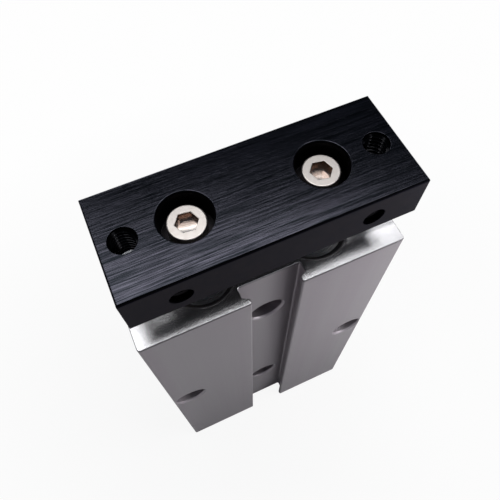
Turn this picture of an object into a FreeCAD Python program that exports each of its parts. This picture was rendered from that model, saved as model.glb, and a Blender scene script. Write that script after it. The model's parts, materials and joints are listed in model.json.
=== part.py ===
import FreeCAD
import Part
import math
import os

# Twin rod pneumatic cylinder: two pistons side by side push one tool plate without letting it turn.
# Millimetres. The origin is the middle of the body's rear face, +Z runs along the rods to the plate,
# X runs across the width, and the broad face with the sensor groove looks to -Y. The rods are retracted.

# Bores, rods and stroke
stroke = 30.0
bore_dia = 10.0
rod_dia = 6.0
bore_web = 10.0
side_wall = 8.0
face_wall = 3.5

# Fits and small gaps, all radial or endwise
running_gap = 0.02
seal_gap = 0.03
piston_gap = 0.1
seat_gap = 0.02
thread_gap = 0.02
rod_clearance = 0.2
stop_gap = 0.05

# Body ends
seat_step = 1.0
mouth_chamfer = 0.25
body_corner = 0.5
body_chamfer = 0.1

# Sensor groove, an undercut slot along the broad face
slot_mouth = 8.8
slot_width = 11.0
slot_depth = 3.35
lip_root = 1.5
lip_tip = 0.9
lip_round = 0.35
slot_corner = 0.4

# Mounting holes through the body, counterbored from both faces
mount_hole_dia = 3.4
mount_head_dia = 6.5
mount_head_depth = 3.3
mount_head_chamfer = 0.4
web_hole_from_front = 15.8
web_hole_from_rear = 23.2
outer_hole_from_rear = 45.0
outer_hole_edge = 3.7

# Air ports in the narrow left side
port_dia = 5.0
port_depth = 5.0
passage_dia = 1.5

# Snap rings that hold the covers
ring_inset = 1.0
ring_thickness = 1.0
ring_width = 1.0
ring_groove_depth = 0.3
ring_slack = 0.05
ring_open_angle = 64.0
ring_eye_dia = 1.9
ring_eye_hole = 1.0

# Covers
rod_cover_length = 21.0
rear_cover_length = 8.0
cover_chamfer = 0.3
o_ring_section = 1.0
o_ring_land = 0.15
o_ring_flats = 8
rod_o_ring_from_seat = 6.0
rear_o_ring_from_seat = 4.0

# Bush and rod seal
bush_length = 12.0
bush_wall = 1.0
rod_seal_height = 3.0
rod_seal_width = 1.6
rod_seal_lip = 1.8
seal_notch = 0.45

# Bumpers
bumper_dia = 8.4
bumper_proud = 2.0
bumper_seat = 1.0
bumper_chamfer = 0.3

# Piston stack
piston_flange = 1.2
piston_seal_height = 2.2
piston_seal_width = 1.4
wear_ring_height = 3.5
wear_ring_wall = 0.7
wear_ring_slit = 0.6
magnet_height = 3.5
magnet_wall = 1.9
magnet_washer_height = 0.5
magnet_inset = 0.3
rod_socket_depth = 3.0
rod_chamfer = 0.3
groove_slack = 0.05

# Screws
screw_dia = 3.0
screw_clearance = 0.2
screw_tip_chamfer = 0.3
hole_runout = 2.0
cap_head_dia = 5.5
cap_head_height = 3.0
cap_head_round = 0.2
cap_hex = 3.0
cap_hex_depth = 2.0
cap_hex_mouth = 3.7
cap_hex_point = 0.3
flat_head_dia = 5.6
flat_head_inset = 0.1
flat_hex = 2.0
flat_hex_depth = 1.1
plate_screw_engagement = 6.8
piston_screw_engagement = 5.0

# Tool plate
plate_gap = 9.0
plate_thickness = 8.0
plate_side_inset = 1.0
plate_face_inset = 0.2
plate_chamfer = 0.25
plate_foot_chamfer = 0.1
plate_head_bore = 7.8
plate_bore_chamfer = 0.15
plate_head_recess = 1.45
plate_tap_dia = 4.0
plate_tap_edge = 3.5
plate_tap_relief_dia = 5.8
plate_tap_relief_depth = 1.8
side_tap_dia = 3.3
side_tap_edge = 7.75
side_tap_drop = 4.5
side_tap_depth = 4.5

# Worked out across the body
bore_r = bore_dia / 2
rod_r = rod_dia / 2
rod_pitch = bore_dia + bore_web
body_width = rod_pitch + bore_dia + 2 * side_wall
body_depth = bore_dia + 2 * face_wall
slot_face = -body_depth / 2
slot_floor = slot_face + slot_depth
seat_r = bore_r + seat_step
cover_r = seat_r - seat_gap
bumper_r = bumper_dia / 2
bush_r = rod_r + running_gap + bush_wall
land_r = rod_r + rod_clearance
rod_seal_r = rod_r + rod_seal_width
piston_r = bore_r - piston_gap
piston_floor_r = bore_r - seal_gap - piston_seal_width
wear_floor_r = bore_r - running_gap - wear_ring_wall
magnet_r = piston_r - magnet_inset
hub_r = magnet_r - magnet_wall
screw_r = screw_dia / 2
screw_hole_r = screw_r + screw_clearance
tapped_r = screw_r + thread_gap

# Worked out along the rods, from the rear face up
rear_ring_z = ring_inset
rear_cover_z = rear_ring_z + ring_thickness
rear_seat_z = rear_cover_z + rear_cover_length
piston_z = rear_seat_z + bumper_proud + stop_gap
rear_seal_z = piston_z + piston_flange
hub_z = rear_seal_z + piston_seal_height + piston_flange
front_half_z = hub_z + magnet_height + magnet_washer_height
wear_ring_z = front_half_z + piston_flange
front_seal_z = wear_ring_z + wear_ring_height + piston_flange
piston_top_z = front_seal_z + piston_seal_height + piston_flange
front_seat_z = piston_top_z + stroke + stop_gap + bumper_proud
rod_cover_top_z = front_seat_z + rod_cover_length
front_ring_z = rod_cover_top_z
body_length = front_ring_z + ring_thickness + ring_inset
rod_bottom_z = piston_top_z - rod_socket_depth
plate_z = body_length + plate_gap
plate_top_z = plate_z + plate_thickness
plate_width = body_width - 2 * plate_side_inset
plate_depth = body_depth - 2 * plate_face_inset
head_top_z = plate_top_z - plate_head_recess
head_seat_z = head_top_z - cap_head_height
rear_port_z = rear_seat_z + bumper_proud / 2
front_port_z = front_seat_z - bumper_proud / 2

SIDES = (("left", -rod_pitch / 2), ("right", rod_pitch / 2))
UP = FreeCAD.Vector(0, 0, 1)
ALONG_X = FreeCAD.Vector(1, 0, 0)
ALONG_Y = FreeCAD.Vector(0, 1, 0)
SAME_PLACE = 1e-6


def round_bar(radius, start, length, direction):
    """A plain round bar or hole cutter from a start point along a direction."""
    return Part.makeCylinder(radius, length, FreeCAD.Vector(*start), direction)


def turned(profile):
    """A solid turned about the Z axis from (radius, height) points."""
    points = [FreeCAD.Vector(radius, 0, height) for radius, height in profile]
    face = Part.Face(Part.makePolygon(points + points[:1]))
    return face.revolve(FreeCAD.Vector(0, 0, 0), UP, 360)


def hex_prism(across_flats, bottom, height):
    """A hexagon key's prism, standing on the Z axis."""
    corner_r = across_flats / math.sqrt(3)
    points = []
    for step in range(6):
        angle = math.radians(60 * step)
        points.append(FreeCAD.Vector(corner_r * math.cos(angle), corner_r * math.sin(angle), bottom))
    return Part.Face(Part.makePolygon(points + points[:1])).extrude(UP * height)


def at_x(shape, x):
    """The same shape, moved across to one of the two bores."""
    moved = shape.copy()
    moved.translate(FreeCAD.Vector(x, 0, 0))
    return moved


def upright_edges(shape, corners):
    """The edges along Z that stand on the given (x, y) corners."""
    found = []
    for edge in shape.Edges:
        ends = [vertex.Point for vertex in edge.Vertexes]
        for x, y in corners:
            if all(math.hypot(end.x - x, end.y - y) < SAME_PLACE for end in ends):
                found.append(edge)
    return found


def edges_at_height(shape, heights):
    """The edges that lie flat at one of the given heights."""
    found = []
    for edge in shape.Edges:
        box = edge.BoundBox
        if any(abs(box.ZMin - z) < SAME_PLACE and abs(box.ZMax - z) < SAME_PLACE for z in heights):
            found.append(edge)
    return found


def body_extrusion():
    """The extruded bar: a rectangle with the undercut sensor groove in the -Y face."""
    half_width, half_depth = body_width / 2, body_depth / 2
    mouth, inner = slot_mouth / 2, slot_width / 2
    right = [
        (inner, slot_floor),
        (inner, slot_face + lip_root),
        (mouth, slot_face + lip_tip),
        (mouth, slot_face),
        (half_width, slot_face),
        (half_width, half_depth),
    ]
    left = [(-x, y) for x, y in reversed(right)]
    points = [FreeCAD.Vector(x, y, 0) for x, y in right + left]
    bar = Part.Face(Part.makePolygon(points + points[:1])).extrude(UP * body_length)
    outer = [(side * half_width, y) for side in (-1, 1) for y in (slot_face, half_depth)]
    lips = [(side * mouth, slot_face + depth) for side in (-1, 1) for depth in (0, lip_tip)]
    floor = [(side * inner, slot_floor) for side in (-1, 1)]
    bar = bar.makeFillet(body_corner, upright_edges(bar, outer))
    bar = bar.makeFillet(lip_round, upright_edges(bar, lips))
    bar = bar.makeFillet(slot_corner, upright_edges(bar, floor))
    return bar.makeChamfer(body_chamfer, edges_at_height(bar, (0, body_length)))


def bore_cutter():
    """One stepped bore: cover seats at both ends, each with its snap ring groove."""
    groove_r = seat_r + ring_groove_depth
    mouth_r = seat_r + mouth_chamfer
    return turned([
        (0, 0),
        (mouth_r, 0),
        (seat_r, mouth_chamfer),
        (seat_r, rear_ring_z),
        (groove_r, rear_ring_z),
        (groove_r, rear_cover_z),
        (seat_r, rear_cover_z),
        (seat_r, rear_seat_z),
        (bore_r, rear_seat_z),
        (bore_r, front_seat_z),
        (seat_r, front_seat_z),
        (seat_r, front_ring_z),
        (groove_r, front_ring_z),
        (groove_r, front_ring_z + ring_thickness),
        (seat_r, front_ring_z + ring_thickness),
        (seat_r, body_length - mouth_chamfer),
        (mouth_r, body_length),
        (0, body_length),
    ])


def mount_cutter(x, z, front_face):
    """A through hole along Y with a chamfered screw head counterbore at each end."""
    head_r = mount_head_dia / 2
    mouth_r = head_r + mount_head_chamfer
    back_face = body_depth / 2
    back_seat = back_face - mount_head_depth
    front_reach = front_face + mount_head_depth - slot_face
    back_start = FreeCAD.Vector(x, back_face - mount_head_chamfer, z)
    hole = round_bar(mount_hole_dia / 2, (x, slot_face, z), body_depth, ALONG_Y)
    front_head = round_bar(head_r, (x, slot_face, z), front_reach, ALONG_Y)
    back_head = round_bar(head_r, (x, back_seat, z), mount_head_depth, ALONG_Y)
    front_start = FreeCAD.Vector(x, front_face, z)
    front_mouth = Part.makeCone(mouth_r, head_r, mount_head_chamfer, front_start, ALONG_Y)
    back_mouth = Part.makeCone(head_r, mouth_r, mount_head_chamfer, back_start, ALONG_Y)
    return hole.fuse([front_head, back_head, front_mouth, back_mouth])


def port_cutter(z):
    """A tapped port in the left side, with an air passage on through both bores' walls."""
    side = -body_width / 2
    port = round_bar(port_dia / 2, (side, 0, z), port_depth, ALONG_X)
    passage_end = rod_pitch / 2
    passage = round_bar(passage_dia / 2, (side, 0, z), passage_end - side, ALONG_X)
    return port.fuse(passage)


def cylinder_body():
    """The aluminium body with its bores, mounting holes and ports."""
    outer_x = body_width / 2 - outer_hole_edge
    cutters = [at_x(bore_cutter(), x) for _, x in SIDES]
    web_heights = (web_hole_from_rear, body_length - web_hole_from_front)
    cutters += [mount_cutter(0, z, slot_floor) for z in web_heights]
    cutters += [mount_cutter(side * outer_x, outer_hole_from_rear, slot_face) for side in (-1, 1)]
    cutters += [port_cutter(z) for z in (rear_port_z, front_port_z)]
    return body_extrusion().cut(cutters)


def snap_ring(bottom):
    """An internal snap ring: an open ring with an eye for the pliers at each end."""
    outer_r = seat_r + ring_groove_depth - ring_slack
    inner_r = outer_r - ring_width
    ring = round_bar(outer_r, (0, 0, bottom), ring_thickness, UP)
    ring = ring.cut(round_bar(inner_r, (0, 0, bottom), ring_thickness, UP))
    half_open = math.radians(ring_open_angle / 2)
    reach = 2 * outer_r
    opening = [
        FreeCAD.Vector(0, 0, bottom),
        FreeCAD.Vector(-reach * math.sin(half_open), reach * math.cos(half_open), bottom),
        FreeCAD.Vector(reach * math.sin(half_open), reach * math.cos(half_open), bottom),
    ]
    ring = ring.cut(Part.Face(Part.makePolygon(opening + opening[:1])).extrude(UP * ring_thickness))
    eye_centre_r = seat_r - seat_gap - ring_eye_dia / 2
    for side in (-1, 1):
        eye = (side * eye_centre_r * math.sin(half_open), eye_centre_r * math.cos(half_open), bottom)
        ring = ring.fuse(round_bar(ring_eye_dia / 2, eye, ring_thickness, UP))
    for side in (-1, 1):
        eye = (side * eye_centre_r * math.sin(half_open), eye_centre_r * math.cos(half_open), bottom)
        ring = ring.cut(round_bar(ring_eye_hole / 2, eye, ring_thickness, UP))
    return ring.removeSplitter()


def o_ring_groove(bottom):
    """The four groove points on a cover's outside, from the lower edge to the upper."""
    floor_r = cover_r - o_ring_section
    top = bottom + o_ring_section + 2 * o_ring_land
    return [(cover_r, bottom), (floor_r, bottom), (floor_r, top), (cover_r, top)]


def o_ring(groove_bottom):
    """The cord ring in a cover's groove, pressed to a few flats round its section."""
    cord_r = (o_ring_section - seat_gap) / 2
    centre_r = cover_r - o_ring_section / 2
    centre_z = groove_bottom + o_ring_land + o_ring_section / 2
    section = []
    for flat in range(o_ring_flats):
        angle = 2 * math.pi * (flat + 0.5) / o_ring_flats
        section.append((centre_r + cord_r * math.cos(angle), centre_z + cord_r * math.sin(angle)))
    return turned(section)


def rod_cover():
    """The front cover that guides one rod: bumper seat, bush bore, seal groove and O-ring groove."""
    seat, top = front_seat_z, rod_cover_top_z
    recess_r = bumper_r + seat_gap
    bush_z = seat + bumper_seat
    seal_top = top - rod_seal_lip
    seal_bottom = seal_top - rod_seal_height
    outside = [(recess_r, seat), (cover_r - cover_chamfer, seat), (cover_r, seat + cover_chamfer)]
    outside += o_ring_groove(seat + rod_o_ring_from_seat)
    outside += [(cover_r, top - cover_chamfer), (cover_r - cover_chamfer, top)]
    inside = [
        (land_r + cover_chamfer, top),
        (land_r, top - cover_chamfer),
        (land_r, seal_top),
        (rod_seal_r, seal_top),
        (rod_seal_r, seal_bottom),
        (land_r, seal_bottom),
        (land_r, bush_z + bush_length),
        (bush_r, bush_z + bush_length),
        (bush_r, bush_z),
        (recess_r, bush_z),
    ]
    return turned(outside + inside)


def rod_bush():
    """The plain bearing bush pressed into the rod cover."""
    bottom = front_seat_z + bumper_seat
    top = bottom + bush_length
    inner, outer = rod_r + running_gap, bush_r - seat_gap
    return turned([(inner, bottom), (outer, bottom), (outer, top), (inner, top)])


def lip_seal(inner, outer, heel, lips):
    """A U-shaped lip seal whose notch opens towards the lips' end."""
    middle = (inner + outer) / 2
    notch_floor = lips + (heel - lips) * seal_notch
    half_notch = (outer - inner) * seal_notch / 2
    return turned([
        (inner, heel),
        (outer, heel),
        (outer, lips),
        (middle + half_notch, lips),
        (middle, notch_floor),
        (middle - half_notch, lips),
        (inner, lips),
    ])


def rod_seal():
    """The rod's lip seal, open towards the pressure side below it."""
    top = rod_cover_top_z - rod_seal_lip - groove_slack
    bottom = rod_cover_top_z - rod_seal_lip - rod_seal_height + groove_slack
    return lip_seal(rod_r + seal_gap, rod_seal_r - seat_gap, top, bottom)


def front_bumper():
    """The ring that cushions the piston at full reach, seated in the rod cover."""
    top = front_seat_z + bumper_seat
    bottom = front_seat_z - bumper_proud
    inner = land_r + running_gap
    return turned([
        (inner, top),
        (inner, bottom),
        (bumper_r - bumper_chamfer, bottom),
        (bumper_r, bottom + bumper_chamfer),
        (bumper_r, top),
    ])


def rear_bumper():
    """The disc that cushions the piston at rest, seated in the rear cover."""
    bottom = rear_seat_z - bumper_seat
    top = rear_seat_z + bumper_proud
    return turned([
        (0, bottom),
        (bumper_r, bottom),
        (bumper_r, top - bumper_chamfer),
        (bumper_r - bumper_chamfer, top),
        (0, top),
    ])


def rear_cover():
    """The plug that closes one bore at the rear, with the bumper's recess in its inner face."""
    recess_r = bumper_r + seat_gap
    recess_z = rear_seat_z - bumper_seat
    outside = [(0, rear_cover_z), (cover_r - cover_chamfer, rear_cover_z)]
    outside += [(cover_r, rear_cover_z + cover_chamfer)]
    outside += o_ring_groove(rear_seat_z - rear_o_ring_from_seat)
    outside += [(cover_r, rear_seat_z - cover_chamfer), (cover_r - cover_chamfer, rear_seat_z)]
    return turned(outside + [(recess_r, rear_seat_z), (recess_r, recess_z), (0, recess_z)])


def piston_rear():
    """The piston's rear half: two flanges round a seal groove, and the hub under the magnet."""
    head_r = flat_head_dia / 2 + thread_gap
    head_z = piston_z + flat_head_inset
    cone_top = head_z + head_r - screw_hole_r
    return turned([
        (head_r, piston_z),
        (piston_r, piston_z),
        (piston_r, rear_seal_z),
        (piston_floor_r, rear_seal_z),
        (piston_floor_r, rear_seal_z + piston_seal_height),
        (piston_r, rear_seal_z + piston_seal_height),
        (piston_r, hub_z),
        (hub_r, hub_z),
        (hub_r, front_half_z),
        (screw_hole_r, front_half_z),
        (screw_hole_r, cone_top),
        (head_r, head_z),
    ])


def piston_front():
    """The piston's front half: wear ring groove, seal groove and the socket for the rod's end."""
    socket_r = rod_r + seat_gap
    return turned([
        (screw_hole_r, front_half_z),
        (piston_r, front_half_z),
        (piston_r, wear_ring_z),
        (wear_floor_r, wear_ring_z),
        (wear_floor_r, wear_ring_z + wear_ring_height),
        (piston_r, wear_ring_z + wear_ring_height),
        (piston_r, front_seal_z),
        (piston_floor_r, front_seal_z),
        (piston_floor_r, front_seal_z + piston_seal_height),
        (piston_r, front_seal_z + piston_seal_height),
        (piston_r, piston_top_z),
        (socket_r, piston_top_z),
        (socket_r, rod_bottom_z),
        (screw_hole_r, rod_bottom_z),
    ])


def piston_seal(bottom, lips_up):
    """One piston lip seal in its groove, open towards its own pressure side."""
    low = bottom + groove_slack
    high = bottom + piston_seal_height - groove_slack
    heel, lips = (low, high) if lips_up else (high, low)
    return lip_seal(piston_floor_r + seat_gap, bore_r - seal_gap, heel, lips)


def wear_ring():
    """The split guide band round the piston."""
    bottom = wear_ring_z + groove_slack
    top = wear_ring_z + wear_ring_height - groove_slack
    inner, outer = wear_floor_r + seat_gap, bore_r - running_gap
    band = turned([(inner, bottom), (outer, bottom), (outer, top), (inner, top)])
    slit_corner = FreeCAD.Vector(-wear_ring_slit / 2, 0, bottom)
    return band.cut(Part.makeBox(wear_ring_slit, bore_dia, top - bottom, slit_corner))


def hub_ring(outer, bottom, top):
    """A plain ring round the piston's hub."""
    inner = hub_r + seat_gap
    return turned([(inner, bottom), (outer, bottom), (outer, top), (inner, top)])


def piston_rod():
    """One rod, tapped at both ends and chamfered."""
    bar = turned([
        (0, rod_bottom_z),
        (rod_r - rod_chamfer, rod_bottom_z),
        (rod_r, rod_bottom_z + rod_chamfer),
        (rod_r, plate_z - rod_chamfer),
        (rod_r - rod_chamfer, plate_z),
        (0, plate_z),
    ])
    rear_depth = piston_screw_engagement + hole_runout
    front_depth = plate_screw_engagement + hole_runout
    rear_hole = round_bar(tapped_r, (0, 0, rod_bottom_z), rear_depth, UP)
    front_hole = round_bar(tapped_r, (0, 0, plate_z - front_depth), front_depth, UP)
    return bar.cut([rear_hole, front_hole])


def piston_screw():
    """The countersunk screw that clamps the piston halves to the rod's rear end."""
    head_r = flat_head_dia / 2
    head_z = piston_z + flat_head_inset
    tip = rod_bottom_z + piston_screw_engagement
    screw = turned([
        (0, head_z),
        (head_r, head_z),
        (screw_r, head_z + head_r - screw_r),
        (screw_r, tip - screw_tip_chamfer),
        (screw_r - screw_tip_chamfer, tip),
        (0, tip),
    ])
    return screw.cut(hex_prism(flat_hex, head_z, flat_hex_depth))


def plate_screw():
    """The socket cap screw that clamps the plate to a rod's front end."""
    head_r = cap_head_dia / 2
    mouth_r = cap_hex_mouth / 2
    tip = plate_z - plate_screw_engagement
    screw = turned([
        (0, head_top_z),
        (head_r - cap_head_round, head_top_z),
        (head_r, head_top_z - cap_head_round),
        (head_r, head_seat_z),
        (screw_r, head_seat_z),
        (screw_r, tip + screw_tip_chamfer),
        (screw_r - screw_tip_chamfer, tip),
        (0, tip),
    ])
    socket_z = head_top_z - cap_hex_depth
    socket = hex_prism(cap_hex, socket_z, cap_hex_depth)
    mouth = Part.makeCone(0, mouth_r, mouth_r, FreeCAD.Vector(0, 0, head_top_z - mouth_r))
    point = Part.makeCone(0, cap_hex / 2, cap_hex_point, FreeCAD.Vector(0, 0, socket_z - cap_hex_point))
    return screw.cut([socket, mouth, point])


def tool_plate():
    """The plate on the rods: screw head bores, relieved tapped holes, and two in the front edge."""
    corner = FreeCAD.Vector(-plate_width / 2, -plate_depth / 2, plate_z)
    plate = Part.makeBox(plate_width, plate_depth, plate_thickness, corner)
    plate = plate.makeChamfer(plate_chamfer, edges_at_height(plate, (plate_top_z,)))
    plate = plate.makeChamfer(plate_foot_chamfer, edges_at_height(plate, (plate_z,)))
    head_bore_r = plate_head_bore / 2
    cutters = []
    for _, x in SIDES:
        cutters.append(round_bar(screw_hole_r, (x, 0, plate_z), plate_thickness, UP))
        cutters.append(round_bar(head_bore_r, (x, 0, head_seat_z), plate_top_z - head_seat_z, UP))
        rim = FreeCAD.Vector(x, 0, plate_top_z - plate_bore_chamfer)
        cutters.append(Part.makeCone(head_bore_r, head_bore_r + plate_bore_chamfer, plate_bore_chamfer, rim))
    for side in (-1, 1):
        tap_x = side * (plate_width / 2 - plate_tap_edge)
        side_x = side * (plate_width / 2 - side_tap_edge)
        side_start = (side_x, -plate_depth / 2, plate_top_z - side_tap_drop)
        cutters.append(round_bar(plate_tap_dia / 2, (tap_x, 0, plate_z), plate_thickness, UP))
        cutters.append(round_bar(plate_tap_relief_dia / 2, (tap_x, 0, plate_z), plate_tap_relief_depth, UP))
        cutters.append(round_bar(side_tap_dia / 2, side_start, side_tap_depth, ALONG_Y))
    return plate.cut(cutters)


def both_sides(shape):
    """Two copies of a shape as separate solids, one for each bore."""
    return Part.makeCompound([at_x(shape, x) for _, x in SIDES])


def export(name, shape):
    """Writes one node's file after a check that it is a sound solid."""
    if not shape.isValid():
        raise ValueError(name + " is not a valid solid")
    shape.exportStep("parts/" + name + ".step")


PER_BORE = {
    "rod_cover": rod_cover(),
    "rod_bush": rod_bush(),
    "rod_seal": rod_seal(),
    "rod_cover_o_ring": o_ring(front_seat_z + rod_o_ring_from_seat),
    "front_snap_ring": snap_ring(front_ring_z),
    "front_bumper": front_bumper(),
    "rear_bumper": rear_bumper(),
    "rear_cover": rear_cover(),
    "rear_cover_o_ring": o_ring(rear_seat_z - rear_o_ring_from_seat),
    "rear_snap_ring": snap_ring(rear_ring_z),
    "piston_rod": piston_rod(),
    "piston_front": piston_front(),
    "piston_rear": piston_rear(),
    "front_piston_seal": piston_seal(front_seal_z, True),
    "rear_piston_seal": piston_seal(rear_seal_z, False),
    "wear_ring": wear_ring(),
    "magnet": hub_ring(magnet_r, hub_z, hub_z + magnet_height),
    "magnet_washer": hub_ring(magnet_r, hub_z + magnet_height, front_half_z),
}

os.makedirs("parts", exist_ok=True)
export("cylinder_body", cylinder_body())
export("tool_plate", tool_plate())
export("plate_screws", both_sides(plate_screw()))
export("piston_screws", both_sides(piston_screw()))
for piece, shape in PER_BORE.items():
    for side_name, bore_x in SIDES:
        export(piece + "_" + side_name, at_x(shape, bore_x))
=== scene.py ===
import json
import math

import bmesh
import bpy
from bpy.props import FloatProperty, FloatVectorProperty, IntProperty, PointerProperty
from bpy.types import Operator, Panel, PropertyGroup
from mathutils import Matrix, Vector


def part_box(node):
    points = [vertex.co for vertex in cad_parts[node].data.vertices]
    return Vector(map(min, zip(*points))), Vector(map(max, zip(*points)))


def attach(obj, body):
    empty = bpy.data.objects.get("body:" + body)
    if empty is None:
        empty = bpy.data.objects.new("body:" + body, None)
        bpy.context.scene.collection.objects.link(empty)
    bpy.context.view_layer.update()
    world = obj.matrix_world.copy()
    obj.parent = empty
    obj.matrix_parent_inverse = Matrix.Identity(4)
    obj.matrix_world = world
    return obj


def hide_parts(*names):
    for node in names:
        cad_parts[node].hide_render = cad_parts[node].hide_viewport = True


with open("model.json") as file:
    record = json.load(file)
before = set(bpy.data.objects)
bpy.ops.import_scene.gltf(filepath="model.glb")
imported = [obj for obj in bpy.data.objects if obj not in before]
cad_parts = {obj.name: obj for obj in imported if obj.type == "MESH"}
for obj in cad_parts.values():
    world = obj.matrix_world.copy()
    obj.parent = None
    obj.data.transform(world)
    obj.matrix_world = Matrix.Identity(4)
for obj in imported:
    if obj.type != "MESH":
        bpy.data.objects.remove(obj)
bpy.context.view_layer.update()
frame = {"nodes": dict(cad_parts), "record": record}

bl_info = {
    "name": "Twin rod cylinder",
    "version": (1, 0, 0),
    "blender": (4, 5, 0),
    "location": "3D View > Sidebar > Cylinder",
    "description": "Dresses a twin rod pneumatic cylinder: finishes, screws, threads and a small studio",
    "category": "Object",
}

MM = 0.001
SIDES = ("left", "right")

# Gaps and angles that the mesh work goes by, and how upright a level face's normal is at least
SAME_POINT = 0.0005 * MM
CLOSE_BY = 0.01 * MM
FLAT_ANGLE = math.radians(0.2)
SHARP_ANGLE = math.radians(32)
LEVEL_NORMAL = 0.9999

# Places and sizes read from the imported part
MOUNTS = {mount["name"]: mount for mount in frame["record"]["mounts"]}
PLATE_TAPS = MOUNTS["plate_taps"]
EDGE_TAPS = MOUNTS["plate_edge_taps"]
BODY_LOW, BODY_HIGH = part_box("cylinder_body")
PLATE_LOW, PLATE_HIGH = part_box("tool_plate")
SCREW_LOW, SCREW_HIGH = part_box("plate_screws")
ROD_LOW, ROD_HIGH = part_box("piston_rod_right")
COVER_LOW, COVER_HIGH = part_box("rear_cover_right")
BORE_X = (ROD_LOW.x + ROD_HIGH.x) / 2
SEAT_R = (COVER_HIGH.x - COVER_LOW.x) / 2

# How far the bores' chamfered mouths reach past the covers' seats
MOUTH_CHAMFER = 0.33 * MM

# Depths below a face between which its own finish begins and is full
SKIN_START = 0.05 * MM
SKIN_FULL = 0.02 * MM

# A thread's depth on screws and in holes, and half its foot and its flat, as shares of the pitch
SCREW_TOOTH = 0.61
HOLE_TOOTH = 0.54
TOOTH_FOOT = 0.44
TOOTH_FLAT = 0.07

# How deep a thread's foot is sunk into the wall that carries it
SCREW_SUNK = 0.02 * MM
HOLE_SUNK = 0.03 * MM

# How far a thread stays from its hole's floor, and from the mouths of the three kinds of hole
FLOOR_GAP = 0.1 * MM
TAP_LEAD = 0.25 * MM
EDGE_LEAD = 0.9 * MM
PORT_LEAD = 0.3 * MM

# Second shades of the finishes, beside the colours that a user changes
DIE_LINE = (0.42, 0.40, 0.42)
# Painted shade along the body's front rim and inside its bores' mouths
END_RIM_SHADE = (0.06, 0.055, 0.06)
MILLED_LINE = (0.55, 0.55, 0.57)
# Painted shade in the plate's holes, on its threads and round its top chamfer
PAINTED_SHADE_BLACK = (0.004, 0.004, 0.005)
EDGE_TEAR = (0.010, 0.009, 0.010)
TAP_TEAR = (0.012, 0.012, 0.013)
TAP_CREST = (0.07, 0.07, 0.075)
PORT_TEAR = (0.42, 0.42, 0.43)
STEEL_SMEAR = (0.80, 0.715, 0.66)
SOCKET_DARK_BROWN = (0.30, 0.19, 0.14)
CHROME_SHEEN = (0.50, 0.51, 0.535)
TURNED_SMEAR = (0.46, 0.46, 0.47)
PHOSPHATE_GRAIN = (0.06, 0.056, 0.054)
NITRILE_BLOOM = (0.045, 0.045, 0.047)
URETHANE_CLOUD = (0.36, 0.23, 0.08)
BRONZE_PORE = (0.30, 0.19, 0.08)
RESIN_FILLER = (0.36, 0.30, 0.21)
MAGNET_GRAIN = (0.20, 0.20, 0.21)
PAPER_FIBRE = (0.57, 0.57, 0.575)
WHITE = (1.0, 1.0, 1.0)

# What black anodising mirrors at a grazing angle
BLACK_EDGE = (0.47, 0.47, 0.49, 1.0)

# The floor's radius, and how far out its plain white begins and is full, in metres
FLOOR_R = 4.0
FLOOR_WHITE = (0.03, 0.12)

# How steeply upwards the backdrop begins to go over into the room, and has gone over, as a sine
BACKDROP_RISE = (0.16, 0.36)

# The width of the camera's frame in millimetres
FRAME_MM = 36.0


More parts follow.
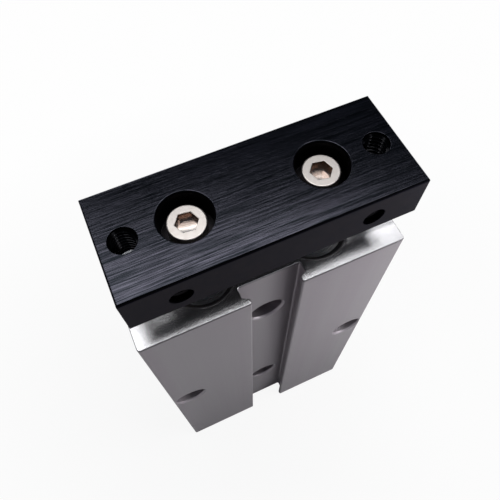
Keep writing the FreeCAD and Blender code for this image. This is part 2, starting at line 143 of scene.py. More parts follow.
class PieceSizes(PropertyGroup):
    """Sizes of the rounds, screws and threads that the scene adds to the solids."""

    body_rim: FloatProperty(
        name="Body rim", description="Round on the rims of the body and its holes",
        default=0.03 * MM, unit="LENGTH", precision=6)
    plate_rim: FloatProperty(
        name="Plate rim", description="Round on the rims of the plate, its chamfers and holes",
        default=0.06 * MM, unit="LENGTH", precision=6)
    fitting_rim: FloatProperty(
        name="Fitting rim", description="Round on the rims of covers, snap rings and rods",
        default=0.05 * MM, unit="LENGTH", precision=6)
    rim_steps: IntProperty(
        name="Rim steps", description="Flats across each rounded rim", default=2, min=1, max=6)
    turn_steps: IntProperty(
        name="Turning steps", description="Flats round a screw or one turn of thread",
        default=96, min=24, max=192)
    head_dia: FloatProperty(
        name="Head diameter", description="Across the cap screw's head",
        default=5.5 * MM, unit="LENGTH", precision=5)
    head_height: FloatProperty(
        name="Head height", description="From the cap screw's seat to its top",
        default=3.0 * MM, unit="LENGTH", precision=5)
    head_round: FloatProperty(
        name="Head round", description="Round on the head's top edge",
        default=0.2 * MM, unit="LENGTH", precision=5)
    knurl_depth: FloatProperty(
        name="Knurl depth", description="Depth of the straight knurl round the head",
        default=0.05 * MM, unit="LENGTH", precision=6)
    hex_flats: FloatProperty(
        name="Hexagon", description="Across the flats of the socket",
        default=2.9 * MM, unit="LENGTH", precision=5)
    hex_depth: FloatProperty(
        name="Hexagon depth", description="From the head's top to the socket's floor",
        default=2.0 * MM, unit="LENGTH", precision=5)
    hex_point: FloatProperty(
        name="Drill point", description="Depth of the cone in the socket's floor",
        default=0.15 * MM, unit="LENGTH", precision=5)
    hex_rim: FloatProperty(
        name="Socket rim", description="Round on the edge between the head's top and the socket",
        default=0.07 * MM, unit="LENGTH", precision=6)
    left_turn: FloatProperty(
        name="Left screw", description="How far the left screw is turned",
        default=math.radians(22.5), subtype="ANGLE")
    right_turn: FloatProperty(
        name="Right screw", description="How far the right screw is turned",
        default=math.radians(19), subtype="ANGLE")
    shank_dia: FloatProperty(
        name="Shank diameter", description="Outside the cap screw's thread",
        default=3.0 * MM, unit="LENGTH", precision=5)
    screw_pitch: FloatProperty(
        name="Screw pitch", description="Pitch of the cap screws' thread",
        default=0.5 * MM, unit="LENGTH", precision=5)
    tap_pitch: FloatProperty(
        name="Plate tap pitch", description="Pitch of the threads through the plate",
        default=0.7 * MM, unit="LENGTH", precision=5)
    tap_relief: FloatProperty(
        name="Plate tap relief", description="Height of the wider part below the plate's threads",
        default=1.8 * MM, unit="LENGTH", precision=5)
    edge_pitch: FloatProperty(
        name="Edge tap pitch", description="Pitch of the threads in the plate's front edge",
        default=0.6 * MM, unit="LENGTH", precision=5)
    edge_depth: FloatProperty(
        name="Edge tap depth", description="Depth of the holes in the plate's front edge",
        default=4.5 * MM, unit="LENGTH", precision=5)
    edge_sink: FloatProperty(
        name="Edge tap sink", description="Chamfer at the mouths of the holes in the plate's front edge",
        default=0.22 * MM, unit="LENGTH", precision=5)
    port_pitch: FloatProperty(
        name="Port pitch", description="Pitch of the threads in the air ports",
        default=0.8 * MM, unit="LENGTH", precision=5)


class PieceColours(PropertyGroup):
    """Colours of the finishes."""

    body_satin: FloatVectorProperty(
        name="Body", description="Clear anodised extrusion", default=(0.266, 0.246, 0.265),
        subtype="COLOR", min=0, max=1)
    body_band: FloatVectorProperty(
        name="Body bands", description="Slow bands along the extrusion", default=(0.249, 0.220, 0.246),
        subtype="COLOR", min=0, max=1)
    body_end: FloatVectorProperty(
        name="Body ends", description="Milled end faces", default=(0.78, 0.77, 0.79),
        subtype="COLOR", min=0, max=1)
    plate_black: FloatVectorProperty(
        name="Plate", description="Black anodised sides and holes of the plate",
        default=(0.03, 0.0275, 0.0295), subtype="COLOR", min=0, max=1)
    plate_top: FloatVectorProperty(
        name="Plate top", description="Black between the brushed lines on the plate's top",
        default=(0.0157, 0.0187, 0.0232), subtype="COLOR", min=0, max=1)
    plate_line: FloatVectorProperty(
        name="Plate lines", description="Brushed lines on the plate's top", default=(0.0885, 0.0875, 0.111),
        subtype="COLOR", min=0, max=1)
    screw_stainless: FloatVectorProperty(
        name="Cap screws", description="Stainless steel", default=(0.96, 0.895, 0.845),
        subtype="COLOR", min=0, max=1)
    # The socket walls are painted a darker brown than the steel
    socket_brown: FloatVectorProperty(
        name="Socket walls", description="Brown film on the pressed socket walls", default=(0.40, 0.26, 0.20),
        subtype="COLOR", min=0, max=1)
    rod_chrome: FloatVectorProperty(
        name="Rods", description="Hard chrome", default=(0.60, 0.61, 0.63),
        subtype="COLOR", min=0, max=1)
    turned_aluminium: FloatVectorProperty(
        name="Covers and pistons", description="Turned aluminium", default=(0.62, 0.62, 0.63),
        subtype="COLOR", min=0, max=1)
    bush_bronze: FloatVectorProperty(
        name="Bushes", description="Sintered bronze", default=(0.55, 0.37, 0.17),
        subtype="COLOR", min=0, max=1)
    seal_rubber: FloatVectorProperty(
        name="Seals", description="Black nitrile rubber", default=(0.028, 0.028, 0.030),
        subtype="COLOR", min=0, max=1)
    bumper_urethane: FloatVectorProperty(
        name="Bumpers", description="Amber polyurethane", default=(0.45, 0.31, 0.13),
        subtype="COLOR", min=0, max=1)
    ring_phosphate: FloatVectorProperty(
        name="Snap rings", description="Phosphated spring steel", default=(0.035, 0.033, 0.033),
        subtype="COLOR", min=0, max=1)
    magnet_grey: FloatVectorProperty(
        name="Magnets", description="Bare sintered magnet", default=(0.13, 0.13, 0.14),
        subtype="COLOR", min=0, max=1)
    wear_resin: FloatVectorProperty(
        name="Wear rings", description="Filled resin", default=(0.50, 0.44, 0.33),
        subtype="COLOR", min=0, max=1)
    floor: FloatVectorProperty(
        name="Floor", description="Pale paper under the part", default=(0.60, 0.60, 0.60),
        subtype="COLOR", min=0, max=1)


class StageSettings(PropertyGroup):
    """Camera, lamps and surroundings."""

    camera_lens: FloatProperty(
        name="Lens", description="Focal length on a 36 mm wide frame, in millimetres",
        default=36.743, min=10, max=200)
    camera_place: FloatVectorProperty(
        name="Camera", description="Where the camera stands",
        default=(-16.014 * MM, -34.560 * MM, 158.477 * MM), subtype="TRANSLATION", precision=5)
    camera_aim: FloatVectorProperty(
        name="Aim", description="The point in the middle of the picture",
        default=(-2.782 * MM, -4.158 * MM, 94.0 * MM), subtype="TRANSLATION", precision=5)
    camera_roll: FloatProperty(
        name="Roll", description="How far the camera leans", default=math.radians(-0.933), subtype="ANGLE")
    overhead_width: FloatProperty(
        name="Overhead width", description="Softbox over the part, across", default=0.4867, unit="LENGTH")
    overhead_depth: FloatProperty(
        name="Overhead depth", description="Softbox over the part, front to back",
        default=0.3785, unit="LENGTH")
    overhead_place: FloatVectorProperty(
        name="Overhead place", description="Middle of the softbox over the part",
        default=(0.0038, 0.0970, 0.62), subtype="TRANSLATION", precision=4)
    overhead_turn: FloatProperty(
        name="Overhead turn", description="How far the softbox is turned, seen from above",
        default=math.radians(-17.2), subtype="ANGLE")
    overhead_level: FloatProperty(
        name="Overhead level", description="Brightness of the softbox over the part", default=2.1, min=0)
    side_width: FloatProperty(
        name="Side width", description="Softbox on the right, across", default=0.08, unit="LENGTH")
    side_depth: FloatProperty(
        name="Side depth", description="Softbox on the right, front to back", default=0.527, unit="LENGTH")
    side_place: FloatVectorProperty(
        name="Side place", description="Middle of the softbox on the right", default=(0.297, -0.0965, 0.63),
        subtype="TRANSLATION", precision=4)
    side_level: FloatProperty(
        name="Side level", description="Brightness of the softbox on the right", default=2.0, min=0)
    front_size: FloatProperty(
        name="Front size", description="Width of the lamp in front", default=0.06, unit="LENGTH")
    front_place: FloatVectorProperty(
        name="Front place", description="Where the lamp in front stands", default=(0.070, -0.040, 0.076),
        subtype="TRANSLATION", precision=4)
    front_aim: FloatVectorProperty(
        name="Front aim", description="The point that the lamp in front faces",
        default=(0.008, -0.008, 0.062), subtype="TRANSLATION", precision=4)
    front_level: FloatProperty(
        name="Front level", description="Brightness of the lamp in front", default=7.0, min=0)
    back_width: FloatProperty(
        name="Back width", description="Softbox behind the part, across", default=0.6, unit="LENGTH")
    back_depth: FloatProperty(
        name="Back height", description="Softbox behind the part, top to bottom", default=0.35, unit="LENGTH")
    back_place: FloatVectorProperty(
        name="Back place", description="Middle of the softbox behind the part", default=(-0.2, 0.5, 0.22),
        subtype="TRANSLATION", precision=4)
    back_aim: FloatVectorProperty(
        name="Back aim", description="The point that the softbox behind the part faces", default=(0, 0, 0.05),
        subtype="TRANSLATION", precision=4)
    back_level: FloatProperty(
        name="Back level", description="Brightness of the softbox behind the part", default=1.6, min=0)
    room_level: FloatProperty(
        name="Room level", description="Brightness of the room above the horizon", default=0.068, min=0)
    room_cast: FloatVectorProperty(
        name="Room cast", description="Cool cast of the room above the horizon", default=(0.66, 0.79, 1.0),
        subtype="COLOR", min=0, max=1)
    horizon_level: FloatProperty(
        name="Horizon level", description="Brightness of the backdrop near the floor, as it is seen",
        default=1.0, min=0)
    horizon_fill: FloatProperty(
        name="Horizon fill", description="Share of the backdrop's brightness that lights the part",
        default=0.3, subtype="FACTOR", min=0, max=1)
    floor_glow: FloatProperty(
        name="Floor white", description="How much of the floor reads as plain white paper",
        default=0.985, subtype="FACTOR", min=0, max=1)
    floor_shade: FloatProperty(
        name="Floor shade", description="How much of that white the camera sees close round the part",
        default=0.92, subtype="FACTOR", min=0, max=1)
    mirror_shade: FloatProperty(
        name="Mirrored shade", description="How much of that white metal and glass show close round the part",
        default=0.0, subtype="FACTOR", min=0, max=1)


class Wire:
    """A value on its way through a finish's nodes; a sum written on it adds a Math node."""

    def __init__(self, finish, socket):
        self.finish = finish
        self.socket = socket

    def sum(self, operation, first, second=0.0):
        """Adds the Math node for one operation."""
        return self.finish.node("ShaderNodeMath", {"operation": operation}, {0: first, 1: second})

    def __add__(self, other):
        return self.sum("ADD", self, other)

    def __radd__(self, other):
        return self.sum("ADD", other, self)

    def __sub__(self, other):
        return self.sum("SUBTRACT", self, other)

    def __rsub__(self, other):
        return self.sum("SUBTRACT", other, self)

    def __mul__(self, other):
        return self.sum("MULTIPLY", self, other)

    def __rmul__(self, other):
        return self.sum("MULTIPLY", other, self)

    def __pow__(self, other):
        return self.sum("POWER", self, other)

    def __gt__(self, other):
        return self.sum("GREATER_THAN", self, other)

    def __lt__(self, other):
        return self.sum("LESS_THAN", self, other)

    def __abs__(self):
        return self.sum("ABSOLUTE", self)


class Finish:
    """A node tree in the making, for one of the part's finishes or for the stage."""

    def __init__(self, tree):
        self.tree = tree
        self.tree.nodes.clear()

    def node(self, kind, settings=None, sockets=None, out=0):
        """Adds a node: its settings first, then each socket's value or link; returns one output."""
        made = self.tree.nodes.new(kind)
        for key, value in (settings or {}).items():
            setattr(made, key, value)
        for key, value in (sockets or {}).items():
            if isinstance(value, Wire):
                self.tree.links.new(value.socket, made.inputs[key])
            else:
                made.inputs[key].default_value = value
        return Wire(self, made.outputs[out]) if made.outputs else made

    def place(self):
        """The point on the piece, in metres from the part's origin."""
        return self.node("ShaderNodeTexCoord", out="Object")

    def axes(self):
        """The point's x, y and z."""
        split = self.node("ShaderNodeSeparateXYZ", sockets={0: self.place()}).socket.node
        return [Wire(self, output) for output in split.outputs]

    def noise(self, point, detail, rough):
        """A noise from 0 to 1 whose patches are about 1 across."""
        return self.node("ShaderNodeTexNoise", None, {
            "Vector": point, "Scale": 1.0, "Detail": detail, "Roughness": rough})

    def grain(self, per_metre, detail=2.0, rough=0.5):
        """A noise with its own fineness along x, y and z."""
        scaled = self.node("ShaderNodeVectorMath", {"operation": "MULTIPLY"}, {0: self.place(), 1: per_metre})
        return self.noise(scaled, detail, rough)

    def rings(self, per_metre):
        """A noise in fine rings round the upright axis of each bore."""
        x, y, z = self.axes()
        radius = distance(abs(x) - BORE_X, y)
        rolled = self.node("ShaderNodeCombineXYZ", None, {0: radius * per_metre, 1: z * per_metre})
        return self.noise(rolled, 2.0, 0.6)

    def spread(self, value, span, onto=(0.0, 1.0)):
        """The value stretched from one span onto another, and kept inside it."""
        return self.node("ShaderNodeMapRange", {"clamp": True}, {
            "Value": value, "From Min": span[0], "From Max": span[1], "To Min": onto[0], "To Max": onto[1]})

    def limited(self, value):
        """The value kept between 0 and 1."""
        return self.node("ShaderNodeClamp", None, {0: value})

    def mix(self, share, first, second):
        """One colour going over into another."""
        return self.node("ShaderNodeMix", {"data_type": "RGBA"}, {
            0: share, 6: tint(first), 7: tint(second)}, out=2)

    def bump(self, height, depth):
        """The surface tilted by a height, with the depth in metres of a height of 1."""
        return self.node("ShaderNodeBump", None, {"Strength": 1.0, "Distance": depth, "Height": height})


def tint(colour):
    """A colour with its alpha, or a wire as it is."""
    return colour if isinstance(colour, Wire) else (*tuple(colour)[:3], 1.0)


def distance(across, along):
    """How far a point is from an axis, as a wire, from its two offsets."""
    return (across * across + along * along) ** 0.5


def half_spacing(mount):
    """Half of what lies between the two holes of a mount."""
    return mount["dims"]["spacing_x_mm"] / 2 * MM


def hole_radius(mount):
    """The radius of a mount's holes."""
    return mount["dims"]["hole_r_mm"] * MM


def finish_of(name, make, **sockets):
    """A new material whose main shader gets plain values here and its pattern from make."""
    material = bpy.data.materials.new(name)
    material.use_nodes = True
    finish = Finish(material.node_tree)
    pattern = make(finish)
    pattern.update({key.replace("_", " "): value for key, value in sockets.items()})
    shader = finish.node("ShaderNodeBsdfPrincipled", None, pattern)
    finish.node("ShaderNodeOutputMaterial", None, {"Surface": shader})
    return material


def body_finish(colours):
    """Clear anodised extrusion with faint die lines along it, and brighter milled ends."""

    def make(finish):
        x, y, z = finish.axes()
        die_lines = finish.grain((2200, 2200, 25), detail=3.0, rough=0.6)
        bands = finish.spread(finish.grain((170, 170, 5), detail=1.0), (0.35, 0.65))
        milled = finish.grain((700, 15000, 15000), rough=0.6)
        front = finish.spread(z, (BODY_HIGH.z - SKIN_START, BODY_HIGH.z - SKIN_FULL))
        rear = finish.spread(z, (BODY_LOW.z + SKIN_START, BODY_LOW.z + SKIN_FULL))
        outside = distance(abs(x) - BORE_X, y) > SEAT_R + MOUTH_CHAMFER
        ends = (front + rear) * outside

        # The ends droop a little towards the broad faces, and more so on the right
        brink = finish.spread(abs(y), (BODY_HIGH.y - 3.4 * MM, BODY_HIGH.y))
        right = finish.spread(x, (-2 * MM, 10 * MM))
        droop = (1 - right) * brink ** 2 * 90 + right * brink ** 1.45 * 190

        side = finish.mix(bands, colours.body_satin, colours.body_band)
        side = finish.mix(finish.spread(die_lines, (0.3, 0.7), (0.0, 0.1)), side, DIE_LINE)

        # Painted shade: just below the front end the sides are painted darker, and the bores' mouths darkest
        rim = finish.spread(z, (BODY_HIGH.z - 0.6 * MM, BODY_HIGH.z - 0.3 * MM))
        side = finish.mix(rim * (1 - outside * 0.4), side, END_RIM_SHADE)

        end = finish.mix(finish.spread(milled, (0.3, 0.7), (0.0, 0.2)), colours.body_end, MILLED_LINE)
        side_rough = finish.spread(die_lines, (0.2, 0.8), (0.36, 0.46))
        end_rough = finish.spread(milled, (0.2, 0.8), (0.2, 0.28))
        height = (1 - ends) * die_lines * 0.5 + ends * (milled * 4 - droop)
        return {"Base Color": finish.mix(ends, side, end),
                "Roughness": (1 - ends) * side_rough + ends * end_rough,
                "Metallic": 0.5 + ends * 0.5,
                "Normal": finish.bump(height, 0.003 * MM)}

    return finish_of("body_satin_anodised", make, Specular_IOR_Level=0.3)


def plate_finish(colours, sizes):
    """Black anodised plate, its top brushed lengthways, the edges and holes smoother."""

    def make(finish):
        x, y, z = finish.axes()
        fine = finish.grain((120, 5200, 5200), detail=3.0, rough=0.75)
        broad = finish.grain((40, 1200, 1200), detail=1.0)
        brushed = finish.spread(fine * 0.88 + broad * 0.12, (0.41, 0.61))
        cloud = finish.grain((900, 900, 900), detail=3.0)
        top = finish.spread(z, (PLATE_HIGH.z - SKIN_START, PLATE_HIGH.z - SKIN_FULL))
        face = finish.mix(brushed, colours.plate_top, colours.plate_line)
        clouded = finish.spread(cloud, (0.3, 0.7), (0.0, 0.3))
        edge = finish.mix(clouded, colours.plate_black, colours.plate_top)

        # Painted shade: the holes in the front edge and the chamfer round the top are painted near-black
        mouth_r = hole_radius(EDGE_TAPS) + sizes.edge_sink
        near = distance(abs(x) - half_spacing(EDGE_TAPS), z - EDGE_TAPS["pos_m"][2]) < mouth_r
        hole_shade = near * (y > PLATE_LOW.y + CLOSE_BY) * (y < 0)
        brow = finish.spread(z, (PLATE_HIGH.z - 0.55 * MM, PLATE_HIGH.z - 0.4 * MM))
        edge = finish.mix(finish.limited(hole_shade + brow), edge, PAINTED_SHADE_BLACK)

        top_rough = finish.spread(brushed, (0.0, 1.0), (0.19, 0.15))
        height = top * brushed + (1 - top) * cloud * 0.1
        return {"Base Color": finish.mix(top, edge, face),
                "Roughness": top * top_rough + (1 - top) * 0.36,
                "Normal": finish.bump(height, 0.0035 * MM)}

    return finish_of("plate_black_anodised", make, Metallic=1.0, Specular_Tint=BLACK_EDGE)


def tapped_finish(sizes):
    """The threads cut through the black plate: their rubbed crests are a little lighter and glint."""

    def make(finish):
        x, y, _ = finish.axes()
        crest_r = hole_radius(PLATE_TAPS) - HOLE_TOOTH * sizes.tap_pitch
        crest = distance(abs(x) - half_spacing(PLATE_TAPS), y) < crest_r + 0.02 * MM
        tears = finish.grain((5000, 5000, 5000))
        # Painted shade: the threads' black is painted darker than the plate's own, as shade down the holes
        black = finish.mix(finish.spread(tears, (0.4, 0.7)), PAINTED_SHADE_BLACK, TAP_TEAR)
        return {"Base Color": finish.mix(crest, black, TAP_CREST),
                "Roughness": finish.spread(tears, (0.2, 0.8), (0.1, 0.2))}

    return finish_of("plate_thread_black", make, Metallic=1.0, Specular_Tint=BLACK_EDGE)


def port_finish(colours):
    """Bare aluminium threads of the air ports."""

    def make(finish):
        tears = finish.grain((4000, 4000, 4000))
        return {"Base Color": finish.mix(tears, colours.turned_aluminium, PORT_TEAR),
                "Roughness": finish.spread(tears, (0.2, 0.8), (0.22, 0.4))}

    return finish_of("port_thread_bare", make, Metallic=1.0)


def screw_finish(colours, sizes):
    """Stainless screws: turned rings on the top, the socket's walls a darker brown."""

    def make(finish):
        x, y, z = finish.axes()
        top = SCREW_HIGH.z
        floor = top - sizes.hex_depth
        rings = finish.rings(9000)
        smear = finish.grain((1500, 1500, 1500), detail=3.0)
        inside = distance(abs(x) - BORE_X, y) < sizes.hex_flats / math.sqrt(3) + 0.02 * MM

        # The darker brown begins just below the socket's rim and ends just above its floor
        walls = inside * finish.spread(z, (top - 0.06 * MM, top - 0.15 * MM))
        walls = walls * finish.spread(z, (floor, floor + 0.1 * MM))

        smeared = finish.spread(smear, (0.35, 0.7), (0.0, 0.35))
        steel = finish.mix(smeared, colours.screw_stainless, STEEL_SMEAR)
        wall_brown = finish.mix(smear, colours.socket_brown, SOCKET_DARK_BROWN)
        rough = finish.spread(rings * 0.5 + smear * 0.5, (0.3, 0.7), (0.36, 0.46))
        return {"Base Color": finish.mix(walls * 0.9, steel, wall_brown),
                "Roughness": rough - inside * (z < top - 0.1 * MM) * 0.22,
                "Normal": finish.bump(rings, 0.0005 * MM)}

    return finish_of("screw_stainless", make, Metallic=1.0)


def rod_finish(colours):
    """Hard chrome over fine grinding lines that run round the rod."""

    def make(finish):
        ground = finish.grain((90, 90, 9000), detail=3.0, rough=0.7)
        sheen = finish.grain((300, 300, 60))
        return {"Base Color": finish.mix(sheen, colours.rod_chrome, CHROME_SHEEN),
                "Roughness": finish.spread(ground, (0.3, 0.7), (0.06, 0.14)),
                "Normal": finish.bump(ground, 0.0004 * MM)}

    return finish_of("rod_hard_chrome", make, Metallic=1.0)


def turned_finish(name, colour):
    """Aluminium from the lathe: fine rings round the bore's axis."""

    def make(finish):
        rings = finish.rings(6000)
        smear = finish.spread(finish.grain((700, 700, 700)), (0.3, 0.7), (0.0, 0.4))
        return {"Base Color": finish.mix(smear, colour, TURNED_SMEAR),
                "Roughness": finish.spread(rings, (0.3, 0.7), (0.22, 0.38)),
                "Normal": finish.bump(rings, 0.004 * MM)}

    return finish_of(name, make, Metallic=1.0)


def grainy_finish(name, colour, other, per_metre, rough, depth, **sockets):
    """A finish with an even grain: two shades, a range of roughness and a shallow relief."""

    def make(finish):
        grain = finish.grain((per_metre,) * 3, detail=3.0, rough=0.6)
        blotch = finish.grain((per_metre / 12,) * 3)
        shade = finish.spread(grain * 0.6 + blotch * 0.4, (0.35, 0.65))
        return {"Base Color": finish.mix(shade, colour, other),
                "Roughness": finish.spread(grain, (0.25, 0.75), rough),
                "Normal": finish.bump(grain, depth)}

    return finish_of(name, make, **sockets)


def piece_from(mesh, name, material, body, slot, *nodes):
    """Puts a finished mesh into the scene as a piece that rides on a body and may stand for CAD nodes."""
    for face in mesh.faces:
        face.smooth = True
    data = bpy.data.meshes.new(name)
    mesh.to_mesh(data)
    mesh.free()
    data.materials.append(material)
    piece = bpy.data.objects.new(name, data)
    bpy.context.scene.collection.objects.link(piece)
    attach(piece, body)
    if nodes:
        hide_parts(*nodes)
    return piece


def bevelled(mesh, edges, width, steps):
    """Cuts edges back by a width, in one flat or a round of several."""
    bmesh.ops.bevel(mesh, geom=edges, offset=width, offset_type="OFFSET", segments=steps, profile=0.5,
                    affect="EDGES", material=-1, clamp_overlap=True)


def countersunk(mesh, sink):
    """Chamfers the mouths of the two holes in the plate's front edge."""
    place = Vector(EDGE_TAPS["pos_m"])

    def on_mouth(point):
        radius = math.hypot(abs(point.x) - half_spacing(EDGE_TAPS), point.z - place.z)
        return abs(point.y - place.y) < CLOSE_BY and abs(radius - hole_radius(EDGE_TAPS)) < CLOSE_BY

    bevelled(mesh, [edge for edge in mesh.edges if all(on_mouth(vert.co) for vert in edge.verts)], sink, 1)


def rounded_copy(node, name, rim, steps, material, body, slot, shaped=None):
    """A copy of a solid with its triangles joined, shaped further if asked, and its sharp rims rounded."""
    mesh = bmesh.new()
    mesh.from_mesh(frame["nodes"][node].data)
    bmesh.ops.remove_doubles(mesh, verts=mesh.verts, dist=SAME_POINT)
    bmesh.ops.dissolve_limit(mesh, angle_limit=FLAT_ANGLE, use_dissolve_boundaries=False,
                             verts=mesh.verts, edges=mesh.edges)
    if shaped:
        shaped(mesh)
    for edge in mesh.edges:
        edge.smooth = True
    piece = piece_from(mesh, name, material, body, slot, node)
    rounds = piece.modifiers.new("rim_rounds", "BEVEL")
    rounds.width = rim
    rounds.segments = steps
    rounds.limit_method = "ANGLE"
    rounds.angle_limit = SHARP_ANGLE
    rounds.use_clamp_overlap = False
    flats = piece.modifiers.new("flat_faces", "WEIGHTED_NORMAL")
    flats.mode = "FACE_AREA"
    flats.weight = 90


def creased(mesh):
    """Keeps a mesh's hard edges and the bounds of its level faces, so that only its rounds bend the light."""
    for edge in mesh.edges:
        if len(edge.link_faces) == 2:
            level = [abs(face.normal.z) > LEVEL_NORMAL for face in edge.link_faces]
            edge.smooth = edge.calc_face_angle() < SHARP_ANGLE and level[0] == level[1]
    return mesh


def dress(names, material):
    """Gives CAD nodes a finish in place of their plain one."""
    for name in names:
        slots = frame["nodes"][name].material_slots
        if not slots:
            raise RuntimeError(name + " has no material slot")
        for slot in slots:
            slot.material = material


def both(*names):
    """The left and right node of each name."""
    return [f"{name}_{side}" for name in names for side in SIDES]


def edges_of(verts):
    """The edges whose both ends are among these."""
    chosen = set(verts)
    return list({edge for vert in verts for edge in vert.link_edges if edge.other_vert(vert) in chosen})


def circle_edges(mesh, radius, height):
    """The edges on a circle round the Z axis."""
    return edges_of([vert for vert in mesh.verts if abs(vert.co.xy.length - radius) < SAME_POINT
                     and abs(vert.co.z - height) < SAME_POINT])


def drawn_in(mesh, edges, move):
    """Extrudes a loop of edges and moves its new points; returns the new points."""
    made = bmesh.ops.extrude_edge_only(mesh, edges=edges)["geom"]
    points = [item for item in made if isinstance(item, bmesh.types.BMVert)]
    for point in points:
        point.co = move(point.co)
    return points


def wound_thread(mesh, wall, crest, pitch, low, high, steps):
    """One thread ridge round the Z axis: a blunt section spun with a small climb at every step."""
    foot, flat = pitch * TOOTH_FOOT, pitch * TOOTH_FLAT
    turns = (high - low - 2 * foot) / pitch
    count = max(steps // 2, round(turns * steps / 2))
    section = [(wall, -foot), (crest, -flat), (crest, flat), (wall, foot)]
    verts = [mesh.verts.new((radius, 0, low + foot + height)) for radius, height in section]
    edges = [mesh.edges.new(pair) for pair in zip(verts, verts[1:] + verts[:1])]
    mesh.faces.new(verts)
    made = bmesh.ops.spin(mesh, geom=verts + edges, cent=(0, 0, 0), axis=(0, 0, 1),
                          dvec=(0, 0, turns * pitch / count), angle=turns * 2 * math.pi, steps=count,
                          use_merge=False, use_duplicate=False)["geom_last"]
    last = [item for item in made if isinstance(item, bmesh.types.BMVert)]
    bmesh.ops.contextual_create(mesh, geom=edges_of(last))


def turned_screw(sizes, land_r, seat_z, tip_z):
    """A cap screw's outside round the Z axis, open at the top inside the land, with a knurled head."""
    mesh = bmesh.new()
    steps = sizes.turn_steps
    top = seat_z + sizes.head_height
    head_r, shank_r = sizes.head_dia / 2, sizes.shank_dia / 2
    root_r = shank_r - SCREW_TOOTH * sizes.screw_pitch
    neck_z = seat_z - 1.2 * MM
    knurl_gap = 0.1 * MM
    head_cut = 0.2 * MM
    fillet = 0.15 * MM
    runout = 0.2 * MM
    tip_cut = 0.25 * MM
    outline = [
        (land_r, top),
        (head_r, top),
        (head_r, top - sizes.head_round - knurl_gap),
        (head_r, seat_z + head_cut),
        (head_r - head_cut, seat_z),
        (shank_r + fillet, seat_z),
        (shank_r, seat_z - fillet),
        (shank_r, neck_z),
        (root_r, neck_z - runout),
        (root_r, tip_z + tip_cut),
        (root_r - tip_cut, tip_z),
        (0, tip_z),
    ]
    verts = [mesh.verts.new((radius, 0, height)) for radius, height in outline]
    edges = [mesh.edges.new(pair) for pair in zip(verts, verts[1:])]
    bmesh.ops.spin(mesh, geom=verts + edges, cent=(0, 0, 0), axis=(0, 0, 1), angle=2 * math.pi,
                   steps=steps, use_merge=True, use_duplicate=False)
    bmesh.ops.remove_doubles(mesh, verts=mesh.verts, dist=SAME_POINT)
    for vert in mesh.verts:
        on_side = abs(vert.co.xy.length - head_r) < SAME_POINT
        step = round(math.atan2(vert.co.y, vert.co.x) * steps / (2 * math.pi))
        if on_side and vert.co.z < top - CLOSE_BY and step % 2:
            vert.co.xy *= 1 - sizes.knurl_depth / head_r
    bevelled(mesh, circle_edges(mesh, head_r, top), sizes.head_round, 4)
    return mesh, root_r, neck_z


def cap_screw(sizes, turn, seat_z, tip_z):
    """One socket cap screw on the Z axis, as a mesh: head, socket, knurl, neck and thread."""
    steps = sizes.turn_steps
    top = seat_z + sizes.head_height
    corner_r = sizes.hex_flats / math.sqrt(3)
    land_r = (sizes.head_dia / 2 + corner_r) / 2
    mesh, root_r, neck_z = turned_screw(sizes, land_r, seat_z, tip_z)

    # The hexagon is joined to the land round it and drawn down to a drill point
    hexagon = bmesh.ops.create_circle(mesh, cap_ends=False, radius=corner_r, segments=6)["verts"]
    bmesh.ops.rotate(mesh, verts=hexagon, cent=(0, 0, 0), matrix=Matrix.Rotation(turn, 3, "Z"))
    bmesh.ops.subdivide_edges(mesh, edges=edges_of(hexagon), cuts=steps // 6 - 1)
    loose = [vert for vert in mesh.verts if not vert.link_faces]
    bmesh.ops.translate(mesh, verts=loose, vec=(0, 0, top))
    land = circle_edges(mesh, land_r, top)
    socket = edges_of(loose)
    bmesh.ops.bridge_loops(mesh, edges=land + socket)
    floor_z = top - sizes.hex_depth
    drill_r = sizes.hex_flats / 2 - 0.05 * MM
    floor = drawn_in(mesh, socket, lambda co: Vector((co.x, co.y, floor_z)))
    drill = drawn_in(mesh, edges_of(floor), lambda co: Vector((*(co.xy.normalized() * drill_r), floor_z)))
    drawn_in(mesh, edges_of(drill), lambda co: Vector((0, 0, floor_z - sizes.hex_point)))
    bevelled(mesh, socket, sizes.hex_rim, 2)

    lead_z = tip_z + 0.2 * MM
    wound_thread(mesh, root_r - SCREW_SUNK, sizes.shank_dia / 2, sizes.screw_pitch, lead_z, neck_z, steps)
    bmesh.ops.remove_doubles(mesh, verts=mesh.verts, dist=SAME_POINT)
    bmesh.ops.recalc_face_normals(mesh, faces=mesh.faces)
    return mesh


def joined(meshes):
    """Several meshes, each with its place, as one."""
    whole = bmesh.new()
    for mesh, place in meshes:
        bmesh.ops.transform(mesh, matrix=place, verts=mesh.verts)
        part = bpy.data.meshes.new("part")
        mesh.to_mesh(part)
        mesh.free()
        whole.from_mesh(part)
        bpy.data.meshes.remove(part)
    return whole


def tapped_threads(places, radius, pitch, low, high, steps):
    """The inside threads of like holes, each made on the Z axis and put in its place, as one mesh."""
    threads = []
    for place in places:
        mesh = bmesh.new()
        wound_thread(mesh, radius + HOLE_SUNK, radius - HOLE_TOOTH * pitch, pitch, low, high, steps)
        bmesh.ops.recalc_face_normals(mesh, faces=mesh.faces)
        threads.append((mesh, place))
    return creased(joined(threads))


def hole_places(mount):
    """The places of the two holes of a mount, left and right."""
    middle, half = Vector(mount["pos_m"]), half_spacing(mount)
    return [Matrix.Translation(middle + Vector((side * half, 0, 0))) for side in (-1, 1)]


def settings_of(context):
    """The sizes and colours as they are set in the scene."""
    return context.scene.twinrod_sizes, context.scene.twinrod_colours


class TWINROD_OT_body(Operator):
    """Round the body's rims and give it its satin finish"""

    bl_idname = "twinrod.body"
    bl_label = "Body"

    def execute(self, context):
        sizes, colours = settings_of(context)
        rounded_copy("cylinder_body", "body_extrusion", sizes.body_rim, sizes.rim_steps,
                     body_finish(colours), "cylinder", "body_aluminium")
        return {"FINISHED"}


